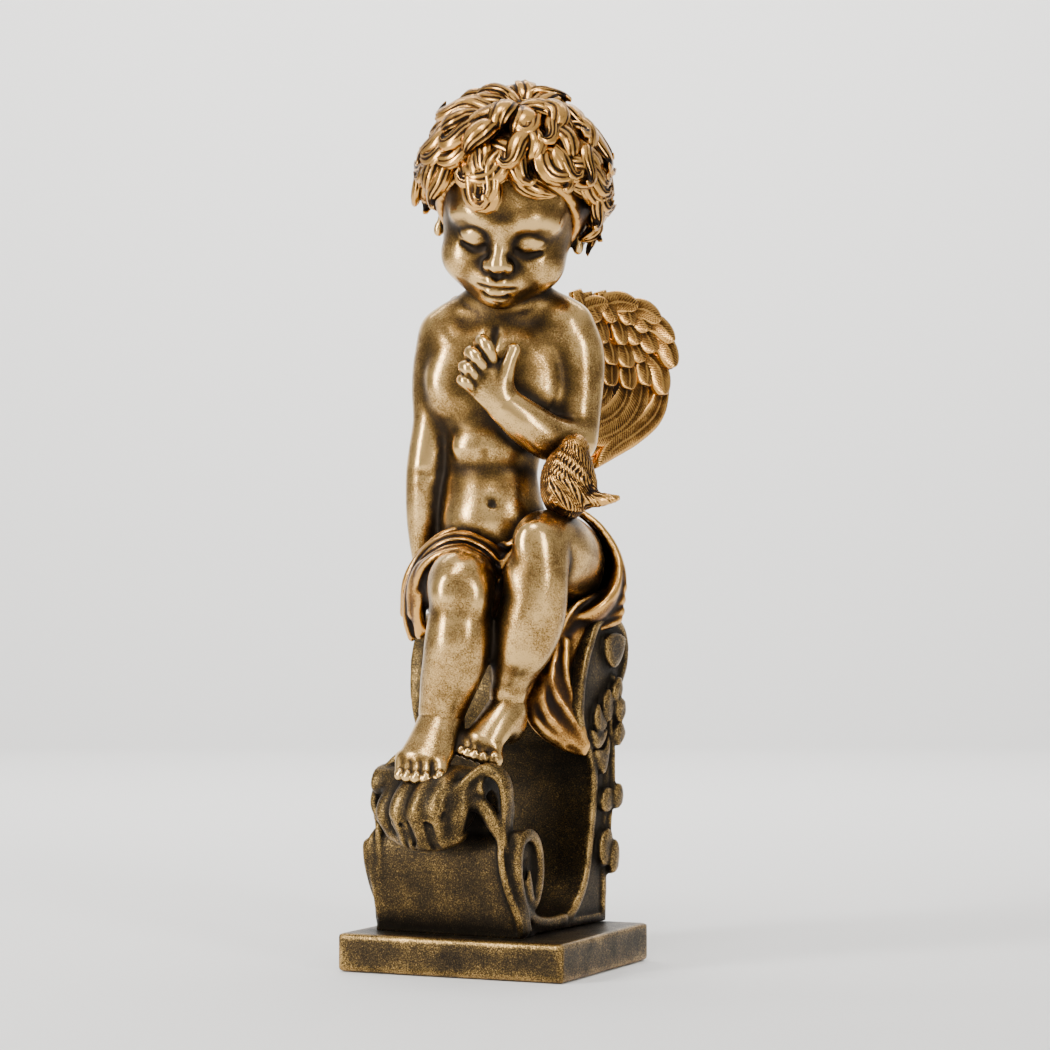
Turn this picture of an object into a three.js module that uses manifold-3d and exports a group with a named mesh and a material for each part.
// A seated child angel with a small bird on its knee, on a scroll pedestal and a square plinth.
// Millimetres, Z up, front towards -Y. The origin is the middle of the plinth's underside.
import * as THREE from "three";
import { mergeVertices } from "three/addons/utils/BufferGeometryUtils.js";
import Module from "manifold-3d";

const wasm = await Module();
wasm.setup();

// Driving dimensions
const PLINTH_WIDTH = 165;
const PLINTH_DEPTH = 148;
const PLINTH_HEIGHT = 25.5;
const PLINTH_EDGE = 1.6;
const JOINT_GAP = 0.3;

const PEDESTAL_TURN = -4.4;
const PEDESTAL_MIDDLE = -8.5;
const PEDESTAL_HALF_WIDTH = 56;
const PEDESTAL_FLARE = 0.075;
const SEAT_HEIGHT = 240;
const SIDE_RECESS = 2.4;
const CURL_HALF_WIDTH = 48;
const BLOCK_TOP = 92;
const BLOCK_NARROWING = 0.42;
const BLOCK_SLOPE_POWER = 0.8;
const SHELL_LOBES = 5;
const SHELL_BULGE = 9;
const ROSETTE_RADIUS = 13;
const LEAF_COUNT = 4;
const LEAF_PITCH = 11;

const FIGURE_TURN = 25.1;
const HEAD_CENTRE = [12, -12, 529];
const HEAD_BOW = 27;
const HEAD_ROLL = 9;
const HEAD_YAW = -9;
const SKULL = [47, 51, 49];
const HAIR_THICKNESS = 7;
const LOCK_LENGTH = 46;
const LOCK_RADIUS = 10.6;
const HAIRLINE_TILT = 90;
const TOE_RADIUS = 4.2;
const BIG_TOE_RADIUS = 6.2;

const WING_ROOT = [34, 41, 418];
const WING_SWEEP = 38;
const BACK_TURN = 17;
const BACK_MIDDLE = [12, 40];
const WING_THICKNESS = 7;
const FEATHER_RELIEF = 2.6;
const FEATHER_STEP = 0.9;
const FEATHER_FAN = [-38, 28];

const SKIN_BRONZE = 0xa58a55;
const GILT_BRONZE = 0x9a6a32;
const DARK_BRONZE = 0x4a3f2b;

const degrees = THREE.MathUtils.degToRad;
const lerp = THREE.MathUtils.lerp;
const vector = (p) => new THREE.Vector3(p[0], p[1], p[2]);

// How far a tube's rounded end stands out, and how narrow it is there, as shares of its girth
const END_REACH = 0.75;
const END_GIRTH = 0.62;

// Turns a geometry into a solid, with its shared corners merged.
function solid(geometry) {
  const bare = geometry.clone();
  bare.deleteAttribute("normal");
  bare.deleteAttribute("uv");
  const merged = mergeVertices(bare, 1e-4);
  return new wasm.Manifold(new wasm.Mesh({
    numProp: 3,
    vertProperties: new Float32Array(merged.attributes.position.array),
    triVerts: new Uint32Array(merged.index.array),
  }));
}

function join(solids) {
  return solids.reduce((whole, next) => whole.add(next));
}

function turned(piece, angle) {
  return piece.rotate([0, 0, angle]);
}

// A closed tube along a smooth curve through knots of [x, y, z, half width, half depth], with round ends.
// The half width lies along the direction given as across.
function sweep(knots, { sides = 8, steps = 8, across = [1, 0, 0], grow = 0 } = {}) {
  const path = new THREE.CatmullRomCurve3(knots.map(vector), false, "centripetal");
  const girth = new THREE.CatmullRomCurve3(
    knots.map((k) => new THREE.Vector3(k[3] + grow, (k[4] ?? k[3]) + grow, 0)),
  );
  const rings = [];
  const addRing = (t, out, shrink) => {
    const tangent = path.getTangent(t);
    const wide = vector(across).addScaledVector(tangent, -tangent.dot(vector(across))).normalize();
    const deep = tangent.clone().cross(wide);
    const [w, d] = girth.getPoint(t).toArray();
    const centre = path.getPoint(t).addScaledVector(tangent, out * Math.min(w, d));
    rings.push({ centre, wide: wide.multiplyScalar(w * shrink), deep: deep.multiplyScalar(d * shrink) });
  };
  addRing(0, -END_REACH, END_GIRTH);
  for (let i = 0; i <= steps; i++) addRing(i / steps, 0, 1);
  addRing(1, END_REACH, END_GIRTH);
  const positions = [];
  for (const ring of rings) {
    for (let s = 0; s < sides; s++) {
      const angle = (2 * Math.PI * s) / sides;
      const point = ring.centre.clone();
      point.addScaledVector(ring.wide, Math.cos(angle)).addScaledVector(ring.deep, Math.sin(angle));
      positions.push(...point.toArray());
    }
  }
  const index = [];
  for (let r = 0; r + 1 < rings.length; r++) {
    for (let s = 0; s < sides; s++) {
      const a = r * sides + s;
      const b = r * sides + ((s + 1) % sides);
      index.push(a, b, b + sides, a, b + sides, a + sides);
    }
  }
  const last = (rings.length - 1) * sides;
  for (let s = 1; s + 1 < sides; s++) {
    index.push(0, s + 1, s);
    index.push(last, last + s, last + s + 1);
  }
  const tube = new THREE.BufferGeometry();
  tube.setAttribute("position", new THREE.Float32BufferAttribute(positions, 3));
  tube.setIndex(index);
  return solid(tube);
}

// An ellipsoid at a centre, with its three half sizes.
function ball(centre, halves, { sides = 10, rings = 7, grow = 0 } = {}) {
  const round = new THREE.SphereGeometry(1, sides, rings);
  round.rotateX(Math.PI / 2);
  round.scale(halves[0] + grow, halves[1] + grow, halves[2] + grow);
  round.translate(...centre);
  return solid(round);
}

// A side outline of [y, z] points, extruded along X between two places.
function sideSlab(outline, from, to, grow = 0) {
  const shape = new THREE.Shape(outline.map(([y, z]) => new THREE.Vector2(y, z)));
  const slab = new THREE.ExtrudeGeometry(shape, {
    depth: to - from,
    bevelEnabled: grow > 0,
    bevelSize: grow,
    bevelThickness: grow,
    bevelSegments: 1,
    curveSegments: 8,
  });
  slab.applyMatrix4(new THREE.Matrix4().makeBasis(
    new THREE.Vector3(0, 1, 0),
    new THREE.Vector3(0, 0, 1),
    new THREE.Vector3(1, 0, 0),
  ));
  slab.translate(from, 0, 0);
  return slab;
}

// Widens a slab towards the top, as the pedestal's sides flare.
function flare(slab) {
  const place = slab.getAttribute("position");
  for (let i = 0; i < place.count; i++) {
    const wider = 1 + (PEDESTAL_FLARE * (place.getZ(i) - PLINTH_HEIGHT)) / PEDESTAL_HALF_WIDTH;
    place.setX(i, PEDESTAL_MIDDLE + place.getX(i) * wider);
  }
  return slab;
}

// Plinth
function makePlinth() {
  const shape = new THREE.Shape();
  const x = PLINTH_WIDTH / 2 - PLINTH_EDGE;
  const y = PLINTH_DEPTH / 2 - PLINTH_EDGE;
  shape.moveTo(-x, -y);
  shape.lineTo(x, -y);
  shape.lineTo(x, y);
  shape.lineTo(-x, y);
  const slab = new THREE.ExtrudeGeometry(shape, {
    depth: PLINTH_HEIGHT - 2 * PLINTH_EDGE,
    bevelSize: PLINTH_EDGE,
    bevelThickness: PLINTH_EDGE,
    bevelSegments: 2,
  });
  slab.translate(0, 0, PLINTH_EDGE);
  return solid(slab);
}

// Scroll pedestal, in its own frame, which is turned a little on the plinth
const FOOT = PLINTH_HEIGHT + JOINT_GAP;

// The upright from the side: seat, front S curve, hollow J and base.
const UPRIGHT = [
  [74, FOOT], [71.5, 48], [67, 90], [65.5, 140], [68, 180], [76, 192], [82, 206], [80, 220],
  [73, 231], [60, 238], [44, SEAT_HEIGHT], [32, 236], [25, 226], [17, 208], [13.5, 190], [14, 172],
  [20, 157], [31, 144], [39, 131], [42, 115], [41, 88], [38, 62], [31, 47], [21, 38], [5, 34.5],
  [-12, 35], [-27, 39], [-34, 46], [-50, 46], [-50, FOOT],
];
// The lower volute from the side, behind the front block.
const VOLUTE = [
  [-50, FOOT], [-28, 40], [-24, 52], [-23, 64], [-26, 78], [-34, 90], [-46, 96], [-57, 96], [-62, 84],
  [-60, 60],
];
// The front block from the side, with its rolled top lip.
const BLOCK = [
  [-30, FOOT], [-51.5, FOOT], [-54, 40], [-56, 56], [-55.5, 68], [-56, 76], [-54, 84], [-47, 90],
  [-38, 92], [-30, 91],
];
// The sheet that curls over the top of the block and carries the feet.
const CURL = [
  [-44, 92], [-46, 112], [-50, 128], [-58, 136], [-68, 138], [-76, 134], [-80, 124], [-72, 118],
  [-66, 124], [-60, 118], [-58, 108], [-57, 96],
];
const RECESS = [
  [63, 66], [60, 120], [60, 168], [58, 184], [44, 194], [31, 190], [30, 172], [37, 160], [49, 147],
  [54, 130], [55, 110], [54, 84], [52, 66],
];

// The right ribbon hooks forward over the block, and the left one ends behind the shell.
function ribbonPath(side) {
  const out = (x) => PEDESTAL_MIDDLE + side * (x - PEDESTAL_MIDDLE);
  const rise = [
    [out(48), -47, 33, 5, 7], [out(46), -55, 50, 4.5, 7.5], [out(41), -60, 72, 4.5, 7.5],
    [out(43), -60, 96, 4.5, 7.5], [out(45), -61, 117, 4.5, 7.5],
  ];
  const hook = [[out(44), -70, 134, 4.5, 7], [out(42), -84, 136, 4.5, 7], [out(38), -94, 124, 4, 6]];
  return side > 0 ? [...rise, ...hook] : [...rise, [out(36), -62, 128, 4.5, 6]];
}

// Lobes of a shell that fan out over the front of the curl, under the right foot
function makeShell(grow) {
  const lobes = [];
  for (let i = 0; i < SHELL_LOBES; i++) {
    const fan = lerp(-1, 1, i / (SHELL_LOBES - 1));
    const bulge = SHELL_BULGE * (1 - fan * fan);
    const x = (reach) => PEDESTAL_MIDDLE - 2 + reach * fan;
    lobes.push(sweep([
      [x(18), -60, 131, 11, 8], [x(31), -73 - bulge, 126, 11.5, 8],
      [x(38), -76 - bulge, 111, 11, 8], [x(36), -66 - bulge, 99, 8.5, 6],
    ], { sides: 5, steps: 3, grow }));
  }
  return join(lobes);
}

// Leaves, a ribbon and overlapping discs that hang down a side face; the far side is plainer.
function makeGarland(side) {
  const face = (z) => PEDESTAL_MIDDLE
    + side * (PEDESTAL_HALF_WIDTH + PEDESTAL_FLARE * (z - PLINTH_HEIGHT) - SIDE_RECESS);
  const disc = (y, z, radius, high, sides) => {
    const round = new THREE.CylinderGeometry(radius, radius, high, sides);
    round.rotateZ(Math.PI / 2);
    round.translate(face(z) + side * (high / 2 - 1), y, z);
    return solid(round);
  };
  const pieces = [
    disc(54, 214, ROSETTE_RADIUS, 7.6, 10),
    disc(54, 214, ROSETTE_RADIUS / 2, 9.4, 6),
    disc(66, 114, 9, 6.6, 8),
    disc(64, 76, 12, 6.6, 10),
    sweep([[face(150), 68, 152, 2.4, 3], [face(110), 67, 110, 2.4, 3], [face(62), 69, 62, 2.2, 2.6]],
      { sides: 4, steps: 2 }),
  ];
  if (side > 0) {
    pieces.push(disc(72, 119, 7.5, 5.4, 8), disc(72, 68, 9, 5.4, 8));
    for (let i = 0; i < LEAF_COUNT; i++) {
      const z = 192 - LEAF_PITCH * i;
      const away = i % 2 ? 7 : -6;
      pieces.push(sweep([
        [face(z), 64, z, 3, 4.5],
        [face(z) + 2, 66 + away, z - 7, 2.6, 4],
        [face(z), 66 + 1.6 * away, z - 13, 1, 1.6],
      ], { sides: 4, steps: 2 }));
    }
  }
  return join(pieces);
}

function makePedestal(grow = 0) {
  const half = PEDESTAL_HALF_WIDTH;
  let body = solid(flare(sideSlab(UPRIGHT, -half, half, grow)));
  body = body.add(solid(flare(sideSlab(VOLUTE, -half + 2, half - 2, grow))));
  const block = flare(sideSlab(BLOCK, -half, half, grow));
  const place = block.getAttribute("position");
  for (let i = 0; i < place.count; i++) {
    const rise = (place.getZ(i) - FOOT) / (BLOCK_TOP - FOOT);
    const narrower = 1 - BLOCK_NARROWING * Math.max(rise, 0) ** BLOCK_SLOPE_POWER;
    place.setX(i, PEDESTAL_MIDDLE + (place.getX(i) - PEDESTAL_MIDDLE) * narrower);
  }
  body = body.add(solid(block));
  const curl = sideSlab(CURL, -CURL_HALF_WIDTH, CURL_HALF_WIDTH, grow);
  curl.translate(PEDESTAL_MIDDLE, 0, 0);
  body = body.add(solid(curl));
  for (const side of [-1, 1]) {
    body = body.add(sweep(ribbonPath(side), { sides: 4, steps: 7, grow }));
    if (grow === 0) {
      const depth = SIDE_RECESS + 4;
      const recess = flare(sideSlab(RECESS, half - SIDE_RECESS, half + depth));
      let cut = solid(recess).translate([-PEDESTAL_MIDDLE, 0, 0]);
      if (side < 0) cut = cut.mirror([1, 0, 0]);
      body = body.subtract(cut.translate([PEDESTAL_MIDDLE, 0, 0]));
      body = body.add(makeGarland(side));
    }
  }
  return body.add(makeShell(grow));
}

// Torso, neck, arms and legs, in a frame turned so that -Y looks out over the knees
const SHOULDER_LINE = [0.985, -0.17, 0];

function makeTorso(grow) {
  return join([
    sweep([
      [12, 34, 246, 40, 30], [11, 27, 264, 43, 32], [6, 17, 290, 39, 30], [2, 12, 310, 38, 30],
      [0, 14, 330, 35, 27], [1, 14, 348, 35, 25], [3, 12, 374, 39, 26], [5, 12, 398, 41, 25],
      [7, 13, 420, 39, 22], [8, 13, 436, 26, 18],
    ], { sides: 9, steps: 7, across: SHOULDER_LINE, grow }),
    sweep([[7, 16, 428, 21, 19], [9, 7, 450, 19, 18], [11, 0, 475, 21, 21]], { sides: 7, steps: 2, grow }),
    ball([-17, -3, 397], [20, 9, 19], { sides: 6, rings: 4, grow }),
    ball([21, -8, 397], [19, 9, 18], { sides: 6, rings: 4, grow }),
  ]);
}

const FINGERS = [[-6, 422, 4.3], [-12, 416, 4.3], [-16, 409, 4.1], [-18, 402, 3.8]];

function makeArms(grow) {
  const parts = [
    sweep([
      [-30, 18, 428, 20], [-41, 17, 408, 17], [-46, 16, 370, 14.5], [-47, 16, 334, 13],
      [-49, 18, 300, 13.5], [-47, 22, 268, 11], [-44, 27, 250, 10],
    ], { sides: 6, steps: 6, grow }),
    sweep([
      [50, 10, 428, 20], [60, 9, 404, 17], [61, 3, 378, 15.5], [57, -6, 356, 15], [42, -20, 359, 15.5],
      [22, -31, 375, 13], [3, -37, 394, 9.5], [-5, -40, 409, 11.5],
    ], { sides: 6, steps: 8, across: [0, -1, 0.2], grow }),
    sweep([[-1, -40, 404, 5.5], [7, -39, 411, 5], [13, -37, 422, 4.4]],
      { sides: 5, steps: 2, across: [0, 1, 0], grow }),
  ];
  for (const [x, z, radius] of FINGERS) {
    parts.push(sweep([[x + 5, -42, z - 6, radius], [x, -46, z, radius], [x - 1, -40, z + 1, radius]],
      { sides: 5, steps: 2, across: [0.5, 0, 0.8], grow }));
  }
  return join(parts);
}

function makeFoot(ankle, instep, toeRow, toeStep, grow) {
  const parts = [
    sweep([ankle, instep, [...toeRow, 15, 6.5]], { sides: 7, steps: 2, across: [1, 0, 0], grow }),
    ball([ankle[0] + 1, ankle[1] + 7, ankle[2] - 13], [12, 12, 12], { sides: 6, rings: 4, grow }),
  ];
  for (let i = 0; i < 5; i++) {
    const big = i === 4;
    const radius = big ? BIG_TOE_RADIUS : TOE_RADIUS;
    parts.push(ball(
      [toeRow[0] + toeStep * (i - 2), toeRow[1] - (big ? 8 : 6), toeRow[2] - 5],
      [radius, radius + 2, radius], { sides: 5, rings: 3, grow },
    ));
  }
  return parts;
}

function makeLegs(grow) {
  return join([
    sweep([
      [-14, 24, 262, 33], [-20, -14, 265, 30], [-23, -46, 262, 25], [-25, -53, 244, 22.5],
      [-26, -50, 217, 23.5], [-30, -44, 192, 19], [-36, -39, 171, 14.5],
    ], { sides: 8, steps: 6, across: [1, 0, 0], grow }),
    sweep([
      [36, 24, 268, 34], [39, -12, 281, 30], [34, -42, 285, 25], [28, -49, 266, 22], [22, -43, 238, 23.5],
      [15, -35, 210, 18.5], [10, -30, 188, 13],
    ], { sides: 8, steps: 6, across: [1, 0, 0], grow }),
    ...makeFoot([-37, -40, 170, 15], [-42, -48, 153, 15.5, 14], [-47, -60, 137], 6.6, grow),
    ...makeFoot([9, -31, 188, 13], [3, -38, 170, 14, 13], [-5, -47, 153], 6.2, grow),
  ]);
}

// The cloth: a band over both thighs, rolled folds on the lap, a bundle on the hip and a hanging tail
function makeCloth(grow) {
  const fold = (knots) => sweep(knots, { sides: 4, steps: 3, across: [0, 0, 1], grow });
  return join([
    sweep([[-14, 26, 258, 38, 33], [-19, 0, 262, 34, 33], [-21, -22, 264, 30, 31]],
      { sides: 8, steps: 2, grow }),
    sweep([[48, 34, 262, 36, 34], [52, 8, 270, 30, 33], [55, -10, 270, 24, 30]],
      { sides: 8, steps: 2, grow }),
    fold([
      [-50, 20, 250, 5], [-50, -4, 268, 5], [-38, -24, 284, 5.5], [-14, -30, 292, 5], [6, -30, 286, 4.5],
    ]),
    fold([
      [-54, 26, 240, 5], [-54, 2, 256, 5.5], [-45, -27, 270, 5], [-26, -39, 285, 4.5],
      [2, -40, 280, 4],
    ]),
    fold([[60, -6, 306, 5], [72, 2, 292, 5.5], [82, 12, 268, 6], [80, 18, 244, 6]]),
    fold([[48, -22, 304, 4], [62, -20, 290, 5], [70, -12, 268, 5], [66, -4, 240, 5]]),
    fold([[80, 24, 250, 7], [62, 8, 232, 8], [46, -2, 228, 8], [34, -6, 232, 6]]),
    sweep([
      [56, 2, 236, 17, 8], [50, -7, 212, 16, 6], [44, -10, 186, 18, 6], [46, -8, 164, 15, 5],
      [56, -4, 150, 7, 4],
    ], { sides: 6, steps: 6, grow }),
    fold([[44, -6, 228, 5], [38, -14, 206, 5], [30, -16, 184, 5], [34, -15, 166, 4]]),
  ]);
}

// Head of a sleeping-calm child, on plain proportions, with curls that fan out from the crown
function placeHead(piece) {
  return piece
    .rotate([0, HEAD_ROLL, 0])
    .rotate([HEAD_BOW, 0, 0])
    .rotate([0, 0, HEAD_YAW])
    .translate(HEAD_CENTRE);
}

function makeFace() {
  return join([
    ball([0, 2, 1], SKULL, { sides: 8, rings: 6 }),
    ball([0, -13, -33], [40, 34, 35], { sides: 7, rings: 5 }),
    ball([0, -37, -60], [12, 10, 9.5], { sides: 6, rings: 4 }),
    ball([0, -49, -30], [6, 6, 5], { sides: 6, rings: 4 }),
    ball([0, -45, -45], [10, 5, 4.5], { sides: 6, rings: 4 }),
    ...[-1, 1].flatMap((side) => [
      ball([side * 22, -28, -39], [16, 15, 15], { sides: 6, rings: 4 }),
      ball([side * 46, 4, -23], [5, 9, 13], { sides: 5, rings: 4 }),
    ]),
  ]);
}

const LOCK_ROWS = [
  { tilt: 18, count: 4, bend: 0.9 },
  { tilt: 47, count: 6, bend: 1 },
  { tilt: 76, count: 7, bend: 1.05 },
  { tilt: 101, count: 8, bend: 0.9 },
];

function makeHair() {
  const crown = [0, 4, 2];
  const half = SKULL.map((r) => r + HAIR_THICKNESS);
  const cap = ball([0, 8, 6], half, { sides: 8, rings: 6 });
  const faceSide = new THREE.BoxGeometry(200, 80, 120);
  faceSide.translate(0, -58, -56);
  const parts = [cap.subtract(solid(faceSide))];
  // A point over the scalp: tilt from the crown, turn from the front, and height, with angles in degrees.
  const onScalp = (tilt, turn, height) => {
    const t = degrees(tilt);
    const a = degrees(turn);
    return [
      crown[0] + (half[0] + height) * Math.sin(t) * Math.sin(a),
      crown[1] - (half[1] + height) * Math.sin(t) * Math.cos(a),
      crown[2] + (half[2] + height) * Math.cos(t),
    ];
  };
  LOCK_ROWS.forEach((row, r) => {
    for (let i = 0; i < row.count; i++) {
      const turn = (360 * (i + 0.5 * (r % 2))) / row.count;
      const front = Math.cos(degrees(turn));
      if (row.tilt > HAIRLINE_TILT && front > 0.3) continue;
      const curl = i % 2 ? 1 : -1;
      const reach = (LOCK_LENGTH * row.bend * (front > 0.6 ? 0.8 : 1) * 57.3) / half[0];
      const knots = [
        [...onScalp(row.tilt - 12, turn - 6 * curl, -3), LOCK_RADIUS * 0.7],
        [...onScalp(row.tilt + reach * 0.25, turn + 10 * curl, 2), LOCK_RADIUS],
        [...onScalp(row.tilt + reach * 0.55, turn - 4 * curl, 7), LOCK_RADIUS * 0.85],
        [...onScalp(row.tilt + reach * 0.68, turn - 17 * curl, 11), LOCK_RADIUS * 0.35],
      ];
      const across = [Math.cos(degrees(turn)), Math.sin(degrees(turn)), 0.01];
      parts.push(sweep(knots, { sides: 4, steps: 2, across }));
    }
  });
  return join(parts);
}

// Flat round bosses on the back that the wings are seated on
function wingSocket(side) {
  const boss = new THREE.CylinderGeometry(9, 11, 18, 8);
  boss.translate(0, -9, 0);
  boss.rotateZ(-Math.PI / 2);
  boss.rotateZ(degrees(WING_SWEEP));
  boss.translate(...WING_ROOT);
  return side < 0 ? mirrorWing(solid(boss)) : solid(boss);
}

// The back looks a little towards the left wing, so the right wing is its mirror image in a turned plane.
function mirrorWing(piece) {
  const [x, y] = BACK_MIDDLE;
  const turn = degrees(-BACK_TURN);
  return piece.translate([-x, -y, 0]).mirror([Math.cos(turn), Math.sin(turn), 0]).translate([x, y, 0]);
}

function makeFigure() {
  return join([
    makeTorso(0), makeArms(0), makeLegs(0), makeCloth(0), placeHead(join([makeFace(), makeHair()])),
    wingSocket(1), wingSocket(-1),
  ]);
}

// Wing: a curved plate in its own plane of [out from the root, up], with overlapping feathers on both faces
const WING_OUTLINE = [
  [0, -12], [0, 12], [14, 30], [32, 38], [54, 46], [78, 47], [98, 38], [109, 22], [113, 6], [104, -20],
  [88, -38], [66, -56], [44, -70], [38, -66], [30, -48], [16, -30],
];
const FEATHER_ROWS = [
  { from: [28, 28], to: [98, 22], count: 3, long: 38, wide: 24 },
  { from: [34, 4], to: [100, 0], count: 3, long: 40, wide: 24 },
];
// Long feathers that sweep down and inwards, as [out, up, 0, half thickness, half width] along each
const FLIGHT_FEATHERS = [
  [
    [106, 10, 0, 4.4, 8], [107, -14, 0, 4.8, 8.5], [96, -40, 0, 4.8, 8.5], [72, -60, 0, 4.4, 7.5],
    [44, -74, 0, 3, 3],
  ],
  [[88, 0, 0, 4.2, 8], [84, -22, 0, 4.4, 8.5], [66, -42, 0, 4.2, 7.5], [38, -54, 0, 3, 3]],
];

function featherShape(long, wide) {
  const shape = new THREE.Shape();
  shape.moveTo(0, wide * 0.25);
  shape.lineTo(-wide * 0.5, -long * 0.35);
  shape.lineTo(-wide * 0.42, -long * 0.75);
  shape.lineTo(0, -long);
  shape.lineTo(wide * 0.42, -long * 0.75);
  shape.lineTo(wide * 0.5, -long * 0.35);
  return shape;
}

function makeWing(side) {
  const plate = (shape, thick) => {
    const slab = new THREE.ExtrudeGeometry(shape, { depth: thick, bevelEnabled: false });
    slab.translate(0, 0, -thick / 2);
    return slab;
  };
  const outline = new THREE.Shape(WING_OUTLINE.map(([s, t]) => new THREE.Vector2(s, t)));
  const parts = [solid(plate(outline, WING_THICKNESS))];
  FEATHER_ROWS.forEach((row, r) => {
    for (let i = 0; i < row.count; i++) {
      const part = i / (row.count - 1);
      const thick = WING_THICKNESS + 2 * FEATHER_RELIEF - FEATHER_STEP * (r + (i % 2));
      const feather = plate(featherShape(row.long, row.wide), thick);
      feather.rotateZ(degrees(lerp(FEATHER_FAN[0], FEATHER_FAN[1], part)));
      feather.translate(lerp(row.from[0], row.to[0], part), lerp(row.from[1], row.to[1], part), 0);
      parts.push(solid(feather));
    }
  });
  for (const knots of FLIGHT_FEATHERS) {
    parts.push(sweep(knots, { sides: 4, steps: 4, across: [0, 0, 1] }));
  }
  parts.push(sweep([[4, 0, 0, 8], [26, 22, 0, 8], [54, 36, 0, 7.5], [82, 38, 0, 7], [100, 24, 0, 6]],
    { sides: 5, steps: 4, across: [0, 0, 1] }));
  const room = new THREE.BoxGeometry(40, 80, 60);
  room.translate(-20 + JOINT_GAP, 0, 0);
  const flat = join(parts).subtract(solid(room));
  const wing = flat.rotate([90, 0, 0]).rotate([0, 0, WING_SWEEP]).translate(WING_ROOT);
  return side < 0 ? mirrorWing(wing) : wing;
}

// Bird: a plump songbird perched on the left knee, facing the child
function makeBird() {
  return join([
    ball([51, -40, 329], [15, 17, 22], { sides: 8, rings: 5 }),
    ball([52, -42, 353], [10.5, 10.5, 11], { sides: 7, rings: 5 }),
    sweep([[52, -34, 356, 4], [53, -26, 358, 1.4]], { sides: 5, steps: 1, across: [1, 0, 0] }),
    sweep([[60, -50, 342, 7, 4], [66, -52, 326, 7, 4], [76, -50, 316, 3, 2]],
      { sides: 4, steps: 2, across: [0, 0, 1] }),
    sweep([[42, -54, 342, 6, 4], [44, -58, 326, 6, 4], [56, -56, 312, 3, 2]],
      { sides: 4, steps: 2, across: [0, 0, 1] }),
    sweep([[58, -44, 318, 7, 4], [70, -46, 314, 5, 3], [81, -46, 317, 2.4, 1.6]],
      { sides: 4, steps: 2, across: [0, 1, 0.3] }),
  ]);
}

// Putting the pieces together
const pedestal = turned(makePedestal(), PEDESTAL_TURN);
const pedestalRoom = turned(makePedestal(JOINT_GAP), PEDESTAL_TURN);
const figure = turned(makeFigure(), FIGURE_TURN).subtract(pedestalRoom);
const birdRoom = join([
  makeLegs(JOINT_GAP), makeArms(JOINT_GAP), makeCloth(JOINT_GAP), makeTorso(JOINT_GAP),
]);
const bird = turned(makeBird().subtract(birdRoom), FIGURE_TURN);

const materials = {
  dark: new THREE.MeshStandardMaterial({ color: DARK_BRONZE, roughness: 0.55, metalness: 0.85 }),
  skin: new THREE.MeshStandardMaterial({ color: SKIN_BRONZE, roughness: 0.35, metalness: 0.9 }),
  gilt: new THREE.MeshStandardMaterial({ color: GILT_BRONZE, roughness: 0.38, metalness: 0.9 }),
};

// A closed mesh of one named piece; crumbs that a cut leaves loose are dropped.
function piece(name, made, material) {
  const bodies = made.decompose().sort((a, b) => b.volume() - a.volume());
  const { vertProperties, triVerts } = bodies[0].simplify(0.02).getMesh();
  const geometry = new THREE.BufferGeometry();
  geometry.setAttribute("position", new THREE.Float32BufferAttribute(vertProperties, 3));
  geometry.setIndex([...triVerts]);
  const mesh = new THREE.Mesh(geometry, material);
  mesh.name = name;
  return mesh;
}

const statue = new THREE.Group();
statue.add(
  piece("plinth", makePlinth(), materials.dark),
  piece("scroll_pedestal", pedestal, materials.dark),
  piece("angel_figure", figure, materials.skin),
  piece("left_wing", turned(makeWing(1), FIGURE_TURN), materials.gilt),
  piece("right_wing", turned(makeWing(-1), FIGURE_TURN), materials.gilt),
  piece("bird", bird, materials.gilt),
);

export default statue;
